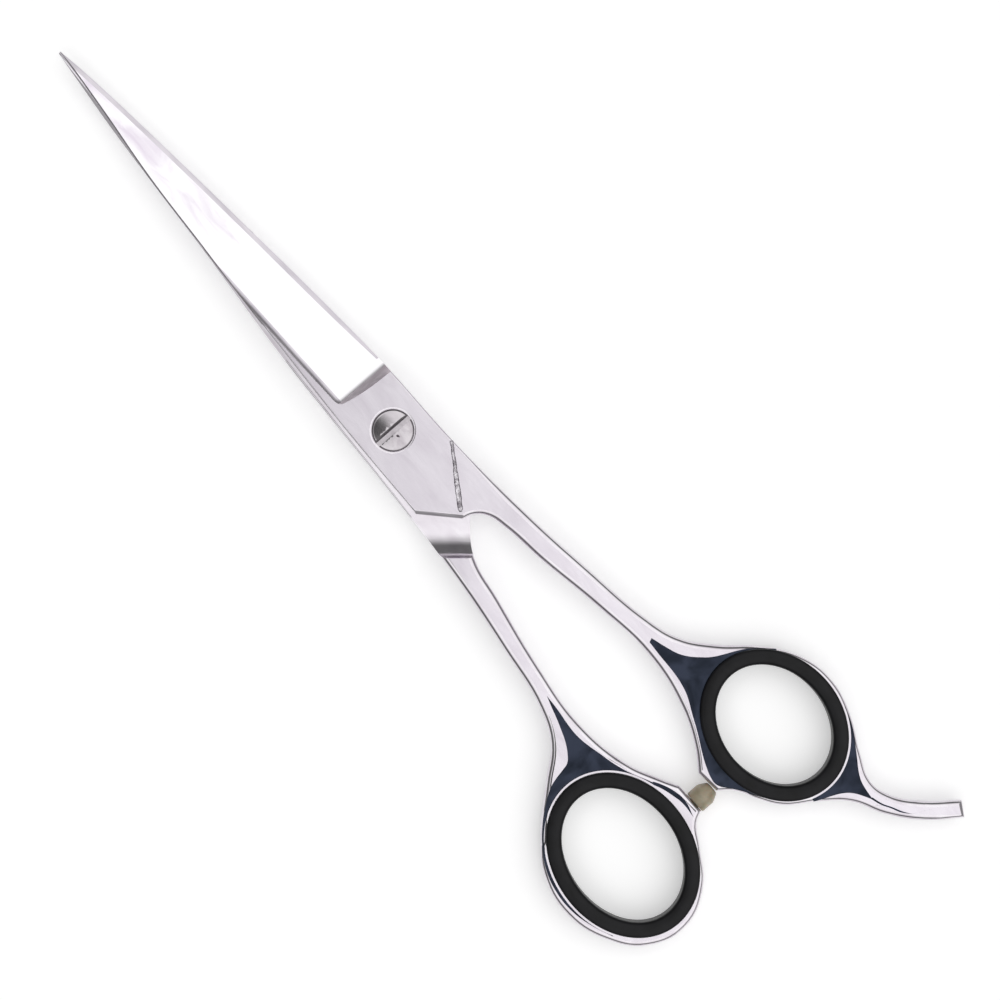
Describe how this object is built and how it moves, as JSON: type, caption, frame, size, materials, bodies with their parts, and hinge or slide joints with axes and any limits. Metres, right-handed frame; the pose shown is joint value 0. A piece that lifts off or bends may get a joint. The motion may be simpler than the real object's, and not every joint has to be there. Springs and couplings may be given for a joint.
{
  "type": "hair cutting shears",
  "caption": "Barber's hair cutting shears: two pivoted forged halves with ground blades, a slotted screw, oval rubber-lined rings, a finger rest and a soft closing bumper.",
  "frame": {"origin": "where the pivot axis meets the surface that the closed shears lie on", "axes": "+X from the pivot to the blade tips, +Y towards the thumb ring, +Z out of the front face, where the screw's head is"},
  "size_m": [0.1917, 0.061, 0.006],
  "materials": {
    "forging_steel": "satin and polished stainless steel, with dark mirror-polished hollows beside the rings",
    "screw_steel": "polished",
    "washer_steel": "plain",
    "insert_rubber": "smooth black rubber",
    "bumper_silicone": "translucent olive silicone"
  },
  "bodies": {
    "finger_handle": {"finger_half": "forging_steel", "finger_ring_insert": "insert_rubber", "tension_washer": "washer_steel"},
    "thumb_handle": {"thumb_half": "forging_steel", "thumb_ring_insert": "insert_rubber", "bumper": "bumper_silicone"},
    "screw": {"pivot_screw": "screw_steel"}
  },
  "joints": [
    {"name": "pivot", "type": "hinge", "parent": "finger_handle", "child": "thumb_handle", "pos_m": [0, 0, 0.00285], "axis": [0, 0, -1], "range_deg": [0, 130]},
    {"name": "tension_adjustment", "type": "hinge", "parent": "thumb_handle", "child": "screw", "pos_m": [0, 0, 0.00285], "axis": [0, 0, -1], "range_deg": [-90, 90]}
  ]
}
